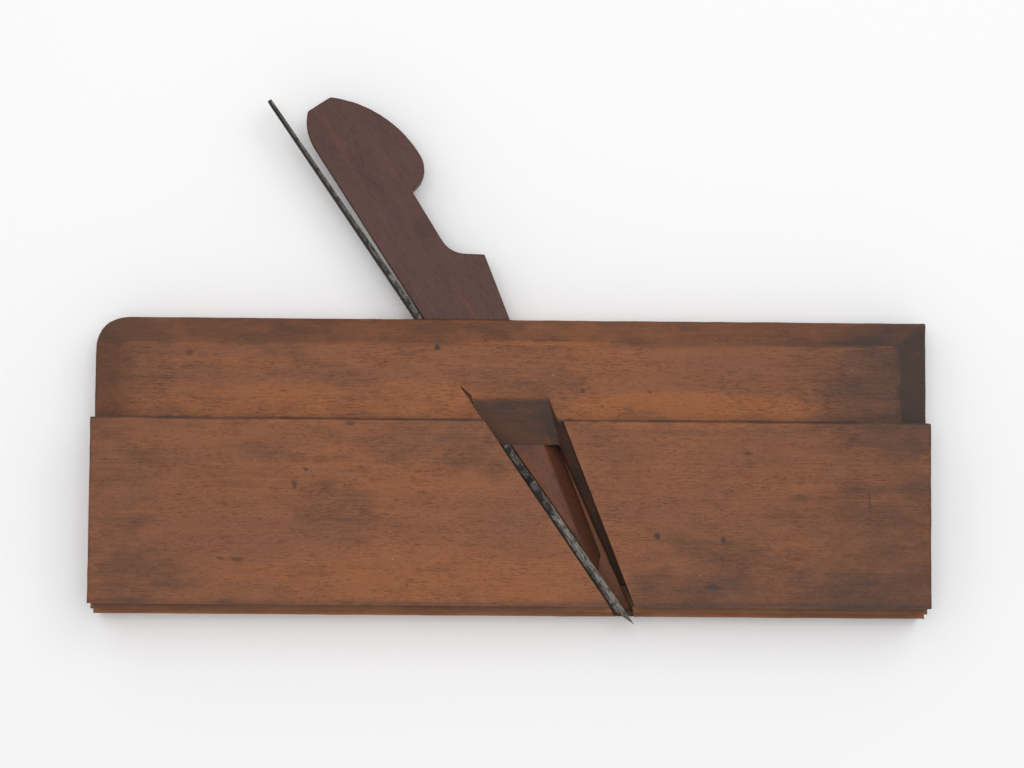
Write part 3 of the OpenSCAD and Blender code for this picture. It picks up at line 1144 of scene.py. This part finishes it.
@dataclass
class Stock:
    """The beech stock with its two lengths of boxwood slip."""

    sole_y: float = -38.0
    kerf: tuple[tuple[Triple, float], ...] = (((-13.0, 20.5, 18.0), 4.0),)
    dents: tuple[Dent, ...] = (
        Dent((-21.6, 34.5, 18.4), 1.0, 0.35),
        Dent((20.6, 22.2, 18.4), 0.9, 0.30),
        Dent((39.9, 22.1, 18.4), 0.8, 0.25),
        Dent((42.0, -19.5, 22.2), 1.1, 0.40),
        Dent((61.0, -20.5, 22.2), 0.9, 0.25, 1.5),
        Dent((-93.0, 32.5, 18.4), 1.3, 0.25),
        Dent((103.0, -10.0, 22.2), 0.6, 0.18, 6.0),
        Dent((-59.0, -1.0, 22.2), 0.8, 0.25),
        Dent((68.0, 4.5, 22.2), 0.8, 0.22),
    )

    def build(self, wear: WearTree) -> list[bpy.types.Object]:
        """Builds the stock and both slips.

        Args:
            wear: The tree that wears arrises.

        Returns:
            The pieces.
        """
        beech = StockFinish("old_beech").make()
        box = WoodFinish(
            "boxwood",
            fresh=(0.300, 0.135, 0.058),
            mellow=(0.185, 0.085, 0.046),
            brown=(0.120, 0.062, 0.040),
            worn=(0.36, 0.20, 0.10),
            fleck_depth=0.12,
            base_roughness=0.42,
        ).make()
        pieces = [
            WornPiece(
                "beech_stock", "stock", Body.STOCK, Slot.BEECH, ease=0.42,
                wear_depth=0.6, wear_run=7.0, seed=3.0, fine_below=self.sole_y,
                fine_spots=self.kerf, shallow_below=38.0, dents=self.dents,
            ).build(wear, beech)
        ]
        for end, seed in (("heel", 5.0), ("toe", 6.0)):
            slip = WornPiece(
                f"boxing_slip_{end}", f"boxing_{end}", Body.STOCK, Slot.BOXWOOD,
                ease=0.10, ease_steps=2, pitch=5.0, support=0.3, wear_depth=0.12,
                seed=seed, fine_ease=0.08,
            )
            pieces.append(slip.build(wear, box))
        return pieces


@dataclass
class Wedge:
    """The beech wedge with its round head."""

    grain_turn: float = -56.0

    def build(self, wear: WearTree) -> list[bpy.types.Object]:
        """Builds the wedge.

        Args:
            wear: The tree that wears arrises.

        Returns:
            The piece.
        """
        finish = WedgeFinish(
            "dark_beech",
            fresh=(0.190, 0.066, 0.033),
            mellow=(0.100, 0.050, 0.042),
            brown=(0.074, 0.041, 0.036),
            grime_and_shade=(0.030, 0.022, 0.020),
            fleck=(0.050, 0.030, 0.025),
            worn=(0.150, 0.078, 0.055),
            grain_turn=self.grain_turn,
            fleck_depth=0.30,
            base_roughness=0.46,
            gloss=0.12,
        ).make()
        wedge = WornPiece(
            "wedge_of_beech", "wedge", Body.WEDGE, Slot.WEDGE, ease=0.45,
            pitch=4.0, support=1.0, wear_depth=0.6, wear_run=8.0, seed=8.0,
        )
        return [wedge.build(wear, finish)]


@dataclass
class Iron:
    """The forged iron with the steel laid on its face."""

    grain_turn: float = -55.5

    def build(self, wear: WearTree) -> list[bpy.types.Object]:
        """Builds the iron and its steel.

        Args:
            wear: The tree that wears arrises.

        Returns:
            The two pieces.
        """
        forged = MetalFinish("forged_iron", grain_turn=self.grain_turn).make()
        steel = MetalFinish(
            "laid_steel",
            scale=(0.055, 0.048, 0.041),
            bright=(0.110, 0.095, 0.078),
            grain_turn=self.grain_turn,
            bright_low=0.40,
            bright_high=0.72,
            base_roughness=0.56,
        ).make()
        tang = WornPiece(
            "tapered_iron", "iron", Body.IRON, Slot.FORGED, ease=0.16, ease_steps=2,
            pitch=3.0, support=0.7, wear_depth=0.25, wear_run=3.0, seed=12.0,
            fine_ease=0.08,
        )
        facing = WornPiece(
            "edge_steel_facing", "edge_steel", Body.IRON, Slot.STEEL, ease=0.06,
            ease_steps=2, pitch=3.0, support=0.3, wear_depth=0.08, seed=13.0,
            fine_ease=0.04,
        )
        return [tang.build(wear, forged), facing.build(wear, steel)]


@dataclass
class Studio:
    """The paper, the soft lights and the camera over the plane."""

    sensor: float = 36.0
    lens: float = 85.75
    camera_at: Triple = (-8.35, -18.95, 720.8)
    tilt: float = 3.5
    lean: float = -0.69
    roll: float = 0.48
    paper_radius: float = 6000.0
    lamps: tuple[tuple[Triple, float, float], ...] = (
        ((0, 60, 1200), 800, 5.0),
        ((430, 420, 920), 650, 1.8),
        ((-420, 380, 920), 800, 1.1),
    )
    aim: Triple = (0, 0, 10)
    surround: float = 0.51

    def _camera(self) -> None:
        """Sets the camera over the plane, tilted a little towards the sole."""
        data = bpy.data.cameras.new("camera")
        data.sensor_width = self.sensor
        data.lens = self.lens
        data.clip_start, data.clip_end = 0.01, 100
        camera = bpy.data.objects.new("camera", data)
        turn = (
            Matrix.Rotation(math.radians(self.tilt), 4, "X")
            @ Matrix.Rotation(math.radians(self.lean), 4, "Y")
            @ Matrix.Rotation(math.radians(self.roll), 4, "Z")
        )
        camera.matrix_world = Matrix.Translation(Vector(self.camera_at) * MM) @ turn
        bpy.context.scene.collection.objects.link(camera)
        bpy.context.scene.camera = camera

    def _paper(self) -> None:
        """Lays the large round sheet that everything stands on."""
        mesh = bmesh.new()
        bmesh.ops.create_circle(mesh, cap_ends=True, segments=96, radius=self.paper_radius * MM)
        data = bpy.data.meshes.new("paper")
        mesh.to_mesh(data)
        mesh.free()
        paper = bpy.data.objects.new("paper", data)
        paper.data.materials.append(PaperFinish().make())
        bpy.context.scene.collection.objects.link(paper)

    def _lights(self) -> None:
        """Hangs the soft lamps and lights the pale surround."""
        for number, (place, size, power) in enumerate(self.lamps):
            data = bpy.data.lights.new(f"lamp_{number}", "AREA")
            data.shape = "DISK"
            data.size = size * MM
            data.energy = power
            lamp = bpy.data.objects.new(f"lamp_{number}", data)
            spot, aim = Vector(place) * MM, Vector(self.aim) * MM
            lamp.matrix_world = (
                Matrix.Translation(spot)
                @ (aim - spot).to_track_quat("-Z", "Y").to_matrix().to_4x4()
            )
            bpy.context.scene.collection.objects.link(lamp)
        world = bpy.data.worlds.new("pale_room")
        world.use_nodes = True
        sky = world.node_tree.nodes["Background"]
        sky.inputs["Color"].default_value = (1.0, 1.0, 1.0, 1.0)
        sky.inputs["Strength"].default_value = self.surround
        bpy.context.scene.world = world

    def build(self) -> None:
        """Builds the camera, the paper and the lights."""
        bpy.context.scene.view_settings.view_transform = "Standard"
        self._camera()
        self._paper()
        self._lights()


def main() -> None:
    """Builds every sub-assembly in order and reports its pieces."""
    logging.basicConfig(level=logging.INFO, format="%(message)s")
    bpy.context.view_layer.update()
    Studio().build()
    wear = WearTree()
    for assembly in (Stock(), Wedge(), Iron()):
        for piece in assembly.build(wear):
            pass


if __name__ == "__main__":
    main()
